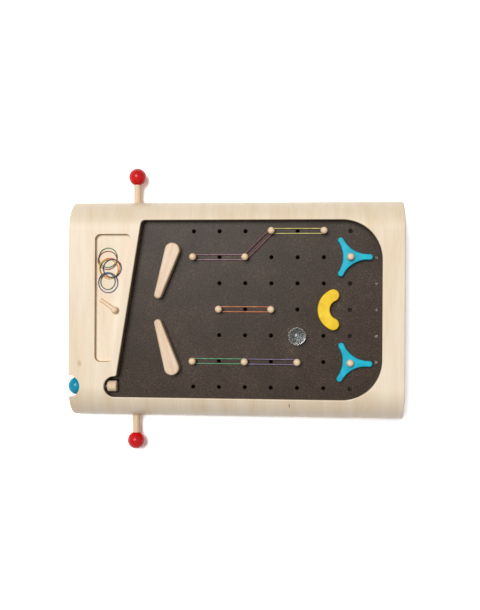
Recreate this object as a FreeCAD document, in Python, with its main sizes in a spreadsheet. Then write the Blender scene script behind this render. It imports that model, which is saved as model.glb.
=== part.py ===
import FreeCAD, Part
import math
import os

import Sketcher
from FreeCAD import Placement, Rotation, Vector

# A tabletop bagatelle game: a wooden deck with rolled long sides stands at a slope over a dark
# playing board. Push rods in both long sides swing two flippers through levers under the board, a
# sprung plunger strikes the marble, and pegs, bands, stars and a crescent make the obstacles.
#
# Everything is drawn in the frame of the board: X runs up the slope from the plunger end, Y across
# the board, Z along the board's normal from its playing surface. One placement then tilts it all
# onto the table.

# ---------------------------------------------------------------- driving dimensions
# alias, value in millimetres or degrees, what it measures
DIMENSIONS = [
    ("slope", 5, "angle of the board to the table"),
    ("front_height", 43.5, "top edge of the deck above the table, plunger end"),
    ("running_gap", 0.05, "radial clearance of a turning or sliding fit"),
    ("face_gap", 0.3, "clearance between faces that move past each other"),
    ("deck_length", 385, "deck, along the slope"),
    ("deck_width", 251, "deck, across the slope"),
    ("deck_depth", 15, "top of the deck above the playing surface"),
    ("side_wall", 11.5, "thickness of the long sides"),
    ("shoulder_radius", 35, "roll of the long sides"),
    ("end_ease", 1.5, "rounding of the deck's ends"),
    ("window_ease", 1.0, "rounding of the window's upper edge"),
    ("side_rail", 23.5, "window to the outside of a long side"),
    ("far_rail", 25.5, "window to the far end"),
    ("panel_top", 84.9, "window to the plunger end, upper long side"),
    ("panel_foot", 52.6, "window to the plunger end, lower long side"),
    ("far_corner_radius", 45.5, "window corners at the far end"),
    ("near_corner_radius", 5, "window corner at the slanted edge"),
    ("lane_start", 54, "middle of the lane's round end to the plunger end"),
    ("lane_radius", 12, "round end of the marble lane"),
    ("lane_lip_radius", 2.5, "rounded corner between lane and slanted edge"),
    ("tray_left", 31, "tray to the plunger end"),
    ("tray_top_inset", 16, "tray's upper end from the window's upper side"),
    ("tray_foot_inset", 40.5, "tray's lower end from the window's lower side"),
    ("tray_margin", 8, "tray to the window's slanted edge"),
    ("tray_depth", 6, "depth of the tray"),
    ("tray_corner_radius", 6.5, "tray corners"),
    ("tray_cove", 2, "rounding at the tray's floor"),
    ("notch_radius", 12.6, "finger notch round the plunger knob"),
    ("notch_centre", 1, "finger notch's centre from the plunger end"),
    ("board_thickness", 8, "playing board"),
    ("board_gap", 0.5, "board to the inside of a long side"),
    ("board_lip_near", 2.5, "board under the deck at the plunger end"),
    ("board_lip_far", 13.5, "board under the deck at the far end"),
    ("first_column", 144, "first column of peg holes from the plunger end"),
    ("last_column_inset", 5.5, "last column of peg holes from the window's far end"),
    ("hole_sink", 0.5, "countersink of a peg hole"),
    ("peg_stem", 4.2, "diameter of a peg's stem"),
    ("peg_head", 8.2, "diameter of a peg's ball head"),
    ("peg_reach", 21, "head centre to the tip of a peg"),
    ("peg_height", 9, "head centre above the board"),
    ("peg_point", 0.7, "chamfer at a peg's tip"),
    ("band_section", 1.1, "thickness and height of a band"),
    ("band_gap", 0.2, "slack of a band round a stem"),
    ("band_low", 1.2, "underside of a lower band above the board"),
    ("band_step", 1.7, "a second band on the same peg, above the first"),
    ("loose_band_radius", 12, "outside radius of a slack band"),
    ("flipper_x", 120.4, "flipper pivots from the plunger end"),
    ("flipper_inset", 34.4, "flipper pivots from the window's long sides"),
    ("flipper_length", 53.9, "pivot to the centre of the tip"),
    ("flipper_root", 8.6, "radius at the pivot"),
    ("flipper_tip", 4.3, "radius at the tip"),
    ("flipper_height", 12, "thickness of a flipper"),
    ("flipper_float", 0.6, "flipper above the board"),
    ("flipper_lie", 17.6, "resting angle from straight across"),
    ("flipper_swing", 20, "travel of a flipper, degrees"),
    ("flipper_socket", 8, "depth of the shaft's socket"),
    ("flipper_top_ease", 1.8, "rounding of a flipper's upper edge"),
    ("flipper_foot_ease", 0.6, "rounding of a flipper's lower edge"),
    ("shaft_diameter", 8, "flipper shaft"),
    ("lever_thickness", 5, "lever"),
    ("lever_hub", 9, "lever radius at the shaft"),
    ("lever_end", 5.5, "lever radius at the slot"),
    ("lever_boss", 7, "radius of the lever's boss"),
    ("slot_side", 0.35, "drive pin to the side of the lever's slot"),
    ("rod_x", 73.3, "push rods from the plunger end"),
    ("rod_drop", 21, "push rods below the playing surface"),
    ("rod_diameter", 8.5, "push rod"),
    ("lever_rise", 0.6, "lever above the push rod"),
    ("knob_diameter", 20.8, "red ball knob"),
    ("knob_standoff", 30.7, "knob centre beyond the long side"),
    ("knob_socket", 8, "depth of the rod's socket in a knob"),
    ("pin_diameter", 4, "drive pin"),
    ("collar_diameter", 14, "collar on a push rod"),
    ("collar_width", 3, "collar on a push rod"),
    ("guide_width", 22, "guide block, along the board"),
    ("guide_thickness", 6, "guide block, along the rod"),
    ("guide_below", 8, "guide block below the rod's axis"),
    ("guide_corner", 4, "rounding of a guide block's lower corners"),
    ("spring_wire", 0.8, "all springs"),
    ("rod_spring_diameter", 10.6, "push rod spring, to the wire's centre"),
    ("plunger_height", 4, "plunger axis above the playing surface"),
    ("plunger_knob", 20.6, "diameter of the blue knob"),
    ("plunger_knob_x", 8, "blue knob's centre from the plunger end"),
    ("knob_cup", 1, "clearance of the knob in its cup"),
    ("plunger_rod", 3.5, "diameter of the plunger rod"),
    ("plunger_head", 12.7, "diameter of the plunger head"),
    ("head_length", 10.8, "plunger head"),
    ("head_setback", 2.8, "plunger head beyond the lane's round end"),
    ("head_bevel", 0.8, "bevel of the plunger head"),
    ("head_socket", 7, "depth of the rod's socket in the head"),
    ("plunger_bore", 14, "bore that the plunger head draws back into"),
    ("bush_length", 5, "plunger bush"),
    ("plunger_spring_diameter", 8.4, "plunger spring, to the wire's centre"),
    ("block_reach", 19, "plunger block to each side of the lane's axis"),
    ("block_depth", 11, "plunger block below the playing surface"),
    ("block_setback", 1.5, "plunger block behind the end face"),
    ("marble_diameter", 20, "glass marble"),
    ("crescent_radius", 18, "middle line of the crescent"),
    ("crescent_width", 13.6, "crescent"),
    ("crescent_half_angle", 66, "half of the crescent's sweep, to the end centres"),
    ("crescent_height", 10, "thickness of the crescent"),
    ("crescent_socket", 6, "depth of the dowel's socket"),
    ("obstacle_ease", 1.2, "rounding of the crescent and the stars"),
    ("obstacle_float", 0.4, "crescent and stars above the board"),
    ("star_reach", 21.8, "centre of the star to the centre of an arm's tip"),
    ("star_tip", 3.3, "radius of an arm's tip"),
    ("star_hollow", 30.3, "radius of the hollow between two arms"),
    ("star_height", 7.6, "thickness of a star"),
    ("screw_diameter", 2.8, "board screw"),
    ("screw_head", 6.4, "board screw's head"),
    ("screw_head_height", 2, "board screw's head"),
    ("screw_bite", 7, "screw in the deck"),
    ("foot_thickness", 2, "rubber foot"),
    ("foot_diameter", 9, "rubber foot"),
    ("foot_inset", 14, "foot from the end of the deck"),
]

doc = FreeCAD.newDocument("Bagatelle")
sheet = doc.addObject("Spreadsheet::Sheet", "Dims")
for row, (alias, value, remark) in enumerate(DIMENSIONS, start=1):
    sheet.set(f"A{row}", alias)
    sheet.set(f"B{row}", str(value))
    sheet.set(f"C{row}", remark)
    sheet.setAlias(f"B{row}", alias)
doc.recompute()


class Size:
    """A length or an angle as a spreadsheet expression, together with its present value."""

    def __init__(self, text, value):
        self.text = text
        self.value = float(value)

    def joined(self, sign, other, value):
        return Size(f"({self.text} {sign} {size(other).text})", value)

    def __add__(self, other):
        return self.joined("+", other, self.value + size(other).value)

    def __sub__(self, other):
        return self.joined("-", other, self.value - size(other).value)

    def __mul__(self, other):
        return self.joined("*", other, self.value * size(other).value)

    def __truediv__(self, other):
        return self.joined("/", other, self.value / size(other).value)

    def __neg__(self):
        return Size(f"(0 - {self.text})", -self.value)


def size(thing):
    return thing if isinstance(thing, Size) else Size(repr(thing), thing)


def sin_of(angle):
    return Size(f"sin({angle.text})", math.sin(math.radians(angle.value)))


def cos_of(angle):
    return Size(f"cos({angle.text})", math.cos(math.radians(angle.value)))


def tan_of(angle):
    return Size(f"tan({angle.text})", math.tan(math.radians(angle.value)))


def span_of(along, across):
    """Length of the line that goes this far along the board and this far across it."""
    text = f"sqrt({size(along).text} ^ 2 + {size(across).text} ^ 2)"
    return Size(text, math.hypot(size(along).value, size(across).value))


class Sizes:
    """Every dimension of the sheet by its alias."""


d = Sizes()
for alias, value, remark in DIMENSIONS:
    setattr(d, alias, Size(f"Dims.{alias}", sheet.get(alias)))

# ---------------------------------------------------------------- sizes that follow from them
half_width = d.deck_width / 2
window_half = half_width - d.side_rail
window_far = d.deck_length - d.far_rail
slant = (d.panel_top - d.panel_foot) / (window_half * 2)
lane_y = d.lane_radius - window_half
lane_end = d.lane_start - d.lane_radius
inner_half = half_width - d.side_wall
board_half = inner_half - d.board_gap
board_near = lane_end - d.board_lip_near
board_far = window_far + d.board_lip_far
# eight columns of peg holes up to the far end, and seven rows, the outer ones in line with the lane
COLUMNS, ROWS = 8, 7
column_pitch = (window_far - d.last_column_inset - d.first_column) / (COLUMNS - 1)
row_pitch = lane_y / ((1 - ROWS) / 2)
tray_top = window_half - d.tray_top_inset
tray_foot = window_half - d.tray_foot_inset
flipper_y = window_half - d.flipper_inset
hole_radius = d.peg_stem / 2 + d.running_gap
ball_radius = d.knob_diameter / 2
knob_y = half_width + d.knob_standoff
rod_radius = d.rod_diameter / 2
shaft_radius = d.shaft_diameter / 2
lever_arm = d.flipper_x - d.rod_x
lever_top = d.lever_rise + rod_radius - d.rod_drop + d.lever_thickness
lever_bottom = lever_top - d.lever_thickness
pin_swing = lever_arm * tan_of(d.flipper_swing / 2)
pin_y = flipper_y + pin_swing
slot_radius = d.pin_diameter / 2 + d.slot_side
slot_far = lever_arm / cos_of(d.flipper_swing / 2)
guide_y = pin_y + d.lever_end + d.face_gap * 3
guide_outer = guide_y + d.guide_thickness
collar_y = inner_half - d.face_gap - d.collar_width
bore_radius = d.plunger_bore / 2
knob_radius = d.plunger_knob / 2
head_x = lane_end + d.head_setback
bush_x = d.plunger_knob_x + knob_radius + d.face_gap
screw_y = (window_half + board_half) / 2

# the wall's lower edge lies in a plane parallel to the table, one foot's thickness above it
lift = d.front_height - d.deck_depth * cos_of(d.slope)
skirt_near = (d.foot_thickness - lift) / cos_of(d.slope)
skirt_far = skirt_near - d.deck_length * tan_of(d.slope)

# the origin is under the middle of the whole game, on the table
leftmost = d.plunger_knob_x * cos_of(d.slope) - d.plunger_height * sin_of(d.slope) - knob_radius
rightmost = d.deck_length * cos_of(d.slope) - skirt_far * sin_of(d.slope)
shift = -(leftmost + rightmost) / 2
ON_TABLE = Placement(
    Vector(shift.value, 0, lift.value), Rotation(Vector(0, 1, 0), -d.slope.value)
)

UPPER, LOWER = 1, -1  # the two long sides, by the sign of Y
SIDES = {"upper": UPPER, "lower": LOWER}


def column_x(column):
    return d.first_column + column_pitch * column


def row_y(row):
    return row_pitch * ((ROWS - 1) / 2 - row)


# ---------------------------------------------------------------- drawing tools
pieces = []


def piece(thing, label, x=0, y=0, z=0, turn=0, tip=None):
    """Names a finished sub-part and stands it on the board, turned about the board's normal."""
    thing.Label = label
    spot = Vector(size(x).value, size(y).value, size(z).value)
    turned = Rotation(Vector(0, 0, 1), size(turn).value)
    if tip is not None:
        turned = turned.multiply(tip)
    thing.Placement = ON_TABLE.multiply(Placement(spot, turned))
    pieces.append(thing)
    return thing


def bind(thing, **sizes):
    for name, value in sizes.items():
        thing.setExpression(name, size(value).text)
    return thing


def body(name):
    return doc.addObject("PartDesign::Body", name)


def origin_plane(owner, role):
    return next(each for each in owner.Origin.OriginFeatures if each.Role == role)


def sketch(owner, role, raised=0):
    """A sketch on one of the body's own origin planes, raised along the plane's normal."""
    made = owner.newObject("Sketcher::SketchObject", f"{owner.Name}_sketch")
    made.AttachmentSupport = [(origin_plane(owner, role), "")]
    made.MapMode = "FlatFace"
    made.setExpression("AttachmentOffset.Base.z", size(raised).text)
    return made


def fix(drawn, kind, value, *places):
    """A dimension of the sketch, bound to its expression."""
    wanted = size(value)
    datum = math.radians(wanted.value) if kind == "Angle" else wanted.value
    index = drawn.addConstraint(Sketcher.Constraint(kind, *places, datum))
    drawn.setExpression(f"Constraints[{index}]", wanted.text)


START, END, CENTRE = range(1, 4)  # the sketcher's names for the points of a line or an arc
ORIGIN = (-1, 1)


def fix_point(drawn, geometry, which, x, y):
    fix(drawn, "DistanceX", x, *ORIGIN, geometry, which)
    fix(drawn, "DistanceY", y, *ORIGIN, geometry, which)


def circle(drawn, x, y, radius):
    middle = Vector(size(x).value, size(y).value, 0)
    ring = drawn.addGeometry(Part.Circle(middle, Vector(0, 0, 1), size(radius).value))
    fix_point(drawn, ring, CENTRE, x, y)
    fix(drawn, "Radius", radius, ring)
    return ring


def polygon(drawn, corners):
    """A closed outline of straight lines, each corner held by its two coordinates."""
    spots = [Vector(size(x).value, size(y).value, 0) for x, y in corners]
    lines = [
        drawn.addGeometry(Part.LineSegment(spot, spots[(n + 1) % len(spots)]))
        for n, spot in enumerate(spots)
    ]
    for n, line in enumerate(lines):
        follower = lines[(n + 1) % len(lines)]
        drawn.addConstraint(Sketcher.Constraint("Coincident", line, END, follower, START))
        fix_point(drawn, line, START, *corners[n])
    return lines


def rectangle(drawn, x0, y0, x1, y1):
    return polygon(drawn, [(x0, y0), (x1, y0), (x1, y1), (x0, y1)])


def arc(drawn, middle, radius, start, end):
    """An arc from one angle to the other, in degrees, anticlockwise."""
    whole = Part.Circle(middle, Vector(0, 0, 1), radius)
    return drawn.addGeometry(
        Part.ArcOfCircle(whole, math.radians(start), math.radians(end))
    )


def smooth(drawn, first, first_end, second, second_end):
    drawn.addConstraint(
        Sketcher.Constraint("Tangent", first, first_end, second, second_end)
    )


def paddle(drawn, length, root, tip):
    """Two round ends joined by tangent lines: root at the origin, tip along X."""
    reach, big, small = size(length).value, size(root).value, size(tip).value
    lean = math.degrees(math.asin((big - small) / reach))
    away = Vector(reach, 0, 0)
    side = Vector(math.sin(math.radians(lean)), math.cos(math.radians(lean)), 0)
    over = Vector(side.x, -side.y, 0)
    root_arc = arc(drawn, Vector(0, 0, 0), big, 90 - lean, 270 + lean)
    tip_arc = arc(drawn, away, small, -90 + lean, 90 - lean)
    lower = drawn.addGeometry(Part.LineSegment(over * big, away + over * small))
    upper = drawn.addGeometry(Part.LineSegment(away + side * small, side * big))
    smooth(drawn, root_arc, END, lower, START)
    smooth(drawn, lower, END, tip_arc, START)
    smooth(drawn, tip_arc, END, upper, START)
    smooth(drawn, upper, END, root_arc, START)
    fix_point(drawn, root_arc, CENTRE, 0, 0)
    fix_point(drawn, tip_arc, CENTRE, length, 0)
    fix(drawn, "Radius", root, root_arc)
    fix(drawn, "Radius", tip, tip_arc)


def pad(owner, drawn, length, midplane=False):
    made = owner.newObject("PartDesign::Pad", f"{owner.Name}_pad")
    made.Profile = drawn
    made.Midplane = midplane
    bind(made, Length=length)
    doc.recompute()
    return made


def pocket(owner, drawn, length=None, backward=False, midplane=False):
    """Cuts the sketch out of the body, and makes sure that the cut took something away."""
    before = owner.Tip.Shape.Volume
    made = owner.newObject("PartDesign::Pocket", f"{owner.Name}_pocket")
    made.Profile = drawn
    made.Reversed = backward
    made.Midplane = midplane
    if length is None:
        made.Type = "ThroughAll"
    else:
        bind(made, Length=length)
    doc.recompute()
    if not made.Shape.Volume < before:
        raise ValueError(f"{made.Name} cuts nothing")
    return made


def edges_where(shape, wanted):
    return [f"Edge{n}" for n, edge in enumerate(shape.Edges, start=1) if wanted(edge)]


def dress(owner, kind, wanted, **sizes):
    """A fillet or chamfer on the edges of the body that meet the condition."""
    base = owner.Tip
    names = edges_where(base.Shape, wanted)
    if not names:
        raise ValueError(f"{owner.Name} has no such edge")
    made = owner.newObject(f"PartDesign::{kind}", f"{owner.Name}_{kind.lower()}")
    made.Base = (base, names)
    bind(made, **sizes)
    doc.recompute()
    return made


def middle_of(edge):
    return edge.valueAt((edge.FirstParameter + edge.LastParameter) / 2)


def is_line(edge):
    return edge.Curve.TypeId == "Part::GeomLine"


def upright_at(x, y, near=0.6):
    """True for a vertical straight edge that stands at this place."""
    spot = Vector(size(x).value, size(y).value, 0)

    def found(edge):
        if not is_line(edge) or abs(edge.tangentAt(edge.FirstParameter).z) < 0.99:
            return False
        where = middle_of(edge)
        return math.hypot(where.x - spot.x, where.y - spot.y) < near

    return found


def level_at(z, near=0.01):
    """True for an edge that lies wholly at this height."""
    height = size(z).value

    def found(edge):
        box = edge.BoundBox
        return abs(box.ZMin - height) < near and abs(box.ZMax - height) < near

    return found


def cylinder(name, radius, height):
    return bind(doc.addObject("Part::Cylinder", name), Radius=radius, Height=height)


def stand(thing, x=0, y=0, z=0, along=(0, 0, 1)):
    """Places a primitive inside its own sub-part, with its axis along a direction."""
    bind(thing, **{"Placement.Base.x": x, "Placement.Base.y": y, "Placement.Base.z": z})
    thing.Placement.Rotation = Rotation(Vector(0, 0, 1), Vector(*along))
    return thing


def turn_seam(thing):
    """Turns a ball's seam to the far side from the bore that is drilled along X."""
    thing.Placement.Rotation = Rotation(Vector(0, 0, 1), 180)
    return thing


def fuse(name, things):
    made = doc.addObject("Part::MultiFuse", name)
    made.Shapes = things
    return made


def cut(name, base, tool):
    made = doc.addObject("Part::Cut", name)
    made.Base = base
    made.Tool = tool
    return made


def ball(name, radius):
    return bind(doc.addObject("Part::Sphere", name), Radius=radius)


# ---------------------------------------------------------------- deck
def make_deck():
    """The one-piece wooden body: a top with a window, rolled long sides and tapering skirts."""
    deck = body("deck")
    profile = sketch(deck, "XZ_Plane")
    polygon(
        profile,
        [
            (0, skirt_near),
            (d.deck_length, skirt_far),
            (d.deck_length, d.deck_depth),
            (0, d.deck_depth),
        ],
    )
    pad(deck, profile, d.deck_width, midplane=True)

    top = d.deck_depth.value
    edge_y = half_width.value

    def shoulder(edge):
        where = middle_of(edge)
        along = is_line(edge) and edge.Length > d.deck_length.value - 1
        return along and abs(where.z - top) < 0.01 and abs(abs(where.y) - edge_y) < 0.01

    dress(deck, "Fillet", shoulder, Radius=d.shoulder_radius)

    def outer_end(edge):
        box = edge.BoundBox
        at_end = abs(box.XMax - box.XMin) < 0.01
        upright_corner = is_line(edge) and abs(edge.tangentAt(edge.FirstParameter).z) > 0.99
        top_corner = abs(box.ZMax - top) < 0.01
        return at_end and (upright_corner or top_corner)

    dress(deck, "Fillet", outer_end, Radius=d.end_ease)

    channel = sketch(deck, "YZ_Plane")
    rectangle(channel, -inner_half, skirt_far * 2, inner_half, 0)
    pocket(deck, channel, backward=True)

    window = sketch(deck, "XY_Plane")
    polygon(
        window,
        [
            (d.lane_start, -window_half),
            (window_far, -window_half),
            (window_far, window_half),
            (d.panel_top, window_half),
            (d.panel_foot + slant * d.lane_radius, lane_y),
        ],
    )
    pocket(deck, window, backward=True)
    lane = sketch(deck, "XY_Plane")
    circle(lane, d.lane_start, lane_y, d.lane_radius)
    pocket(deck, lane, backward=True)

    far = [upright_at(window_far, window_half), upright_at(window_far, -window_half)]
    dress(deck, "Fillet", lambda e: far[0](e) or far[1](e), Radius=d.far_corner_radius)
    dress(deck, "Fillet", upright_at(d.panel_top, window_half), Radius=d.near_corner_radius)
    lip_height = lane_meets_slant()
    lip_x = d.panel_foot.value + slant.value * (lip_height + window_half.value)
    dress(deck, "Fillet", upright_at(lip_x, lip_height), Radius=d.lane_lip_radius)

    def window_rim(edge):
        where = middle_of(edge)
        inside = abs(where.y) <= window_half.value + 0.01
        past_lane = lane_end.value - 0.01 <= where.x <= window_far.value + 0.01
        upright = is_line(edge) and abs(edge.tangentAt(edge.FirstParameter).z) > 0.99
        return inside and past_lane and where.z > top / 2 and not upright

    dress(deck, "Fillet", window_rim, Radius=d.window_ease)

    tray = sketch(deck, "XY_Plane", raised=d.deck_depth)
    tray_edge = d.panel_foot - d.tray_margin + slant * window_half
    corners = [
        (d.tray_left, -tray_foot),
        (tray_edge - slant * tray_foot, -tray_foot),
        (tray_edge + slant * tray_top, tray_top),
        (d.tray_left, tray_top),
    ]
    polygon(tray, corners)
    pocket(deck, tray, d.tray_depth)
    tray_corners = [upright_at(x, y) for x, y in corners]
    dress(
        deck,
        "Fillet",
        lambda edge: any(found(edge) for found in tray_corners),
        Radius=d.tray_corner_radius,
    )
    dress(deck, "Fillet", level_at(d.deck_depth - d.tray_depth), Radius=d.tray_cove)

    notch = sketch(deck, "XY_Plane", raised=d.deck_depth)
    circle(notch, d.notch_centre, lane_y, d.notch_radius)
    pocket(deck, notch)
    bore = sketch(deck, "YZ_Plane")
    circle(bore, lane_y, d.plunger_height, bore_radius)
    pocket(deck, bore, d.lane_start, backward=True)
    cup = deck.newObject("PartDesign::SubtractiveSphere", "deck_cup")
    bind(cup, Radius=knob_radius + d.knob_cup)
    cup.AttachmentSupport = [(origin_plane(deck, "XY_Plane"), "")]
    cup.MapMode = "FlatFace"
    bind(
        cup,
        **{
            "AttachmentOffset.Base.x": d.plunger_knob_x,
            "AttachmentOffset.Base.y": lane_y,
            "AttachmentOffset.Base.z": d.plunger_height,
        },
    )
    doc.recompute()

    rods = sketch(deck, "XZ_Plane")
    circle(rods, d.rod_x, -d.rod_drop, rod_radius + d.running_gap)
    pocket(deck, rods, midplane=True)

    pilots = sketch(deck, "XY_Plane")
    for x, y in screw_places():
        circle(pilots, x, y, d.screw_diameter / 2)
    pocket(deck, pilots, d.screw_bite, backward=True)
    return piece(deck, "deck")


def lane_meets_slant():
    """Height across the board at which the lane's circle crosses the window's slanted edge."""
    lean = slant.value
    drop = (d.panel_foot - d.lane_start).value + lean * d.lane_radius.value
    a, b, c = 1 + lean * lean, 2 * lean * drop, drop * drop - d.lane_radius.value ** 2
    return lane_y.value + (-b + math.sqrt(b * b - 4 * a * c)) / (2 * a)


def screw_places():
    """Where the board is screwed up into the deck: along both sides and at both ends."""
    along = [column_x(-1), column_x(2.5), column_x(6)]
    sides = [(x, screw_y * side) for x in along for side in SIDES.values()]
    far_x = (window_far + board_far) / 2
    far = [(far_x, row_pitch * 2 * side) for side in SIDES.values()]
    near_x = d.lane_start - d.tray_margin / 2
    near = [(near_x, row_pitch * side) for side in SIDES.values()]
    return sides + far + near


# ---------------------------------------------------------------- playing board
# Holes of the grid: for each row across the board, the columns that are drilled
DRILLED = {
    0: range(0, 7),
    1: range(0, 8),
    2: range(1, 8),
    3: range(1, 8),
    4: range(1, 8),
    5: range(0, 8),
    6: range(0, 7),
}


def make_board():
    """The dark playing board under the deck, drilled with countersunk peg holes."""
    board = body("play_board")
    outline = sketch(board, "XY_Plane")
    rectangle(outline, board_near, -board_half, board_far, board_half)
    slab = pad(board, outline, d.board_thickness)
    slab.Reversed = True
    doc.recompute()

    holes = sketch(board, "XY_Plane")
    for row, columns in DRILLED.items():
        for column in columns:
            circle(holes, column_x(column), row_y(row), hole_radius)
    pocket(board, holes)
    rim = hole_radius.value

    def hole_mouth(edge):
        is_ring = edge.Curve.TypeId == "Part::GeomCircle" and abs(edge.Curve.Radius - rim) < 0.01
        return is_ring and abs(middle_of(edge).z) < 0.01

    dress(board, "Chamfer", hole_mouth, Size=d.hole_sink)

    slot = sketch(board, "XY_Plane")
    slot_half = bore_radius + d.face_gap * 2
    slot_end = head_x + d.head_length + d.face_gap * 4
    rectangle(slot, board_near - 1, lane_y - slot_half, slot_end, lane_y + slot_half)
    pocket(board, slot)
    shafts = sketch(board, "XY_Plane")
    for side in SIDES.values():
        circle(shafts, d.flipper_x, flipper_y * side, shaft_radius + d.running_gap)
    pocket(board, shafts)

    screws = sketch(board, "XY_Plane")
    for x, y in screw_places():
        circle(screws, x, y, d.screw_diameter / 2)
    pocket(board, screws)
    shank = d.screw_diameter.value / 2
    underside = -d.board_thickness.value

    def screw_mouth(edge):
        is_ring = edge.Curve.TypeId == "Part::GeomCircle" and abs(edge.Curve.Radius - shank) < 0.01
        return is_ring and abs(middle_of(edge).z - underside) < 0.01

    sunk = dress(board, "Chamfer", screw_mouth, Size=d.screw_head_height)
    sunk.ChamferType = "Two distances"
    sunk.setExpression("Size2", ((d.screw_head - d.screw_diameter) / 2).text)
    sunk.FlipDirection = False
    doc.recompute()
    return piece(board, "play_board")


def make_screws():
    """Countersunk screws that hold the board up to the deck."""
    screws = []
    head_z = -d.board_thickness
    for x, y in screw_places():
        shank = cylinder("screw_shank", d.screw_diameter / 2, d.board_thickness + d.screw_bite)
        head = doc.addObject("Part::Cone", "screw_head")
        bind(
            head,
            Radius1=d.screw_head / 2,
            Radius2=d.screw_diameter / 2,
            Height=d.screw_head_height,
        )
        screws += [stand(shank, x, y, head_z), stand(head, x, y, head_z)]
    return piece(fuse("screws", screws), "board_screws")


def make_feet():
    """Rubber feet under the four ends of the skirts, flat on the table."""
    feet = []
    wall_y = half_width - d.side_wall / 2
    for x in (d.foot_inset, d.deck_length - d.foot_inset):
        skirt = skirt_near - x * tan_of(d.slope)
        row_x = shift + x * cos_of(d.slope) - skirt * sin_of(d.slope)
        for side in SIDES.values():
            foot = cylinder("foot", d.foot_diameter / 2, d.foot_thickness)
            feet.append(stand(foot, row_x, wall_y * side))
    made = fuse("feet", feet)
    made.Label = "rubber_feet"
    pieces.append(made)


# ---------------------------------------------------------------- plunger
def make_plunger_block():
    """The block glued under the deck that carries the plunger, with its cup, bore and notch."""
    block = body("plunger_block")
    outline = sketch(block, "XY_Plane")
    rectangle(
        outline,
        d.block_setback,
        -inner_half,
        board_near - d.face_gap,
        lane_y + d.block_reach,
    )
    slab = pad(block, outline, d.block_depth)
    slab.Reversed = True
    doc.recompute()
    notch = sketch(block, "XY_Plane")
    circle(notch, d.notch_centre, lane_y, d.notch_radius)
    pocket(block, notch)
    bore = sketch(block, "YZ_Plane")
    circle(bore, lane_y, d.plunger_height, bore_radius)
    pocket(block, bore, backward=True)
    cup = block.newObject("PartDesign::SubtractiveSphere", "block_cup")
    bind(cup, Radius=knob_radius + d.knob_cup)
    cup.AttachmentSupport = [(origin_plane(block, "XY_Plane"), "")]
    cup.MapMode = "FlatFace"
    bind(
        cup,
        **{
            "AttachmentOffset.Base.x": d.plunger_knob_x,
            "AttachmentOffset.Base.y": lane_y,
            "AttachmentOffset.Base.z": d.plunger_height,
        },
    )
    doc.recompute()
    return piece(block, "plunger_block")


def along_x(name, radius, length, x):
    """A round bar on the plunger's axis."""
    return stand(cylinder(name, radius, length), x, lane_y, d.plunger_height, along=(1, 0, 0))


def make_plunger():
    """Bush, rod, knob, head and spring, all on the axis of the lane."""
    rod_r = d.plunger_rod / 2
    ring = along_x("bush_ring", bore_radius, d.bush_length, bush_x)
    hole = along_x("bush_hole", rod_r + d.running_gap, d.bush_length, bush_x)
    piece(cut("bush", ring, hole), "plunger_bush")

    rod_start = d.plunger_knob_x + knob_radius - d.knob_socket
    rod_end = head_x + d.head_socket
    lie_down = Rotation(Vector(0, 0, 1), Vector(1, 0, 0))
    rod = cylinder("rod", rod_r, rod_end - rod_start)
    piece(rod, "plunger_rod", rod_start, lane_y, d.plunger_height, tip=lie_down)

    knob = stand(ball("blue_ball", knob_radius), d.plunger_knob_x, lane_y, d.plunger_height)
    turn_seam(knob)
    socket = along_x("knob_socket_bar", rod_r, d.knob_socket * 2, rod_start)
    piece(cut("knob", knob, socket), "plunger_knob")

    head = body("striker")
    blank = sketch(head, "YZ_Plane", raised=head_x)
    circle(blank, lane_y, d.plunger_height, d.plunger_head / 2)
    pad(head, blank, d.head_length)
    dress(head, "Chamfer", lambda edge: True, Size=d.head_bevel)
    socket = sketch(head, "YZ_Plane", raised=head_x)
    circle(socket, lane_y, d.plunger_height, rod_r)
    pocket(head, socket, d.head_socket, backward=True)
    piece(head, "plunger_head")

    start = bush_x + d.bush_length
    spring = coil("plunger_coil", d.plunger_spring_diameter, head_x - start, PLUNGER_TURNS)
    piece(spring, "plunger_spring", start, lane_y, d.plunger_height, tip=lie_down)


PLUNGER_TURNS = 6
ROD_SPRING_TURNS = 5


def coil(name, diameter, length, turns):
    """A compression spring on the Z axis of its own body, clear of both its seats."""
    spring = body(name)
    wire_radius = d.spring_wire / 2
    seat = wire_radius + d.face_gap / 3
    section = sketch(spring, "XZ_Plane")
    circle(section, diameter / 2, seat, wire_radius)
    helix = spring.newObject("PartDesign::AdditiveHelix", f"{name}_helix")
    helix.Profile = section
    helix.ReferenceAxis = (section, ["V_Axis"])
    helix.Mode = "height-turns-angle"
    helix.Turns = turns
    bind(helix, Height=length - seat * 2)
    doc.recompute()
    return spring


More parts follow.
